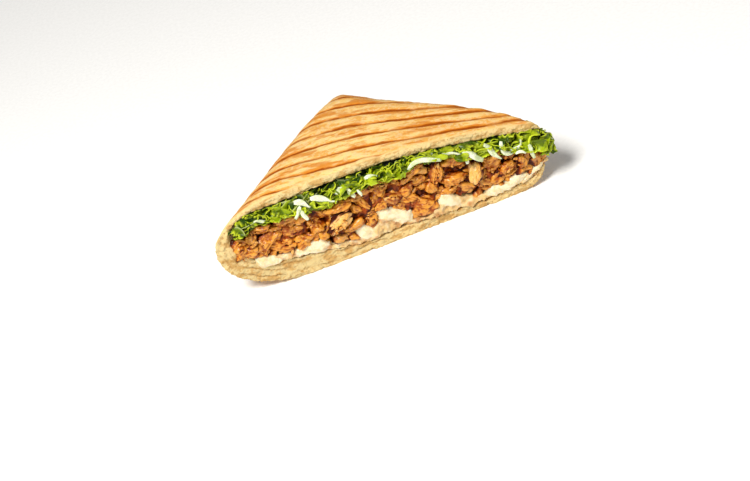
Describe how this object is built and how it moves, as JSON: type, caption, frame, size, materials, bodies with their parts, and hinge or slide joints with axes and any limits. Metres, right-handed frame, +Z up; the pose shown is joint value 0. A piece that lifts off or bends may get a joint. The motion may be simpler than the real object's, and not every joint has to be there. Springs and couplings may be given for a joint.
{
  "type": "quesadilla",
  "caption": "Toasted folded quesadilla cut corner to corner, with lettuce, sauced chicken and melted cheese showing at the open cut side.",
  "frame": {"origin": "on the surface it lies on, under the middle of the triangular parcel", "axes": "+Z up, +X along the cut face from the closed folded end to the open end, +Y from the cut face back to the folded corner"},
  "size_m": [0.169, 0.102, 0.0488],
  "materials": {
    "tortilla": "toasted, matt",
    "lettuce": "moist, crisp",
    "chicken": "browned, glossy with sauce",
    "cheese": "melted, soft sheen"
  },
  "bodies": {
    "root": {"tortilla": "tortilla", "lettuce": "lettuce", "chicken": "chicken", "cheese": "cheese"}
  },
  "joints": []
}
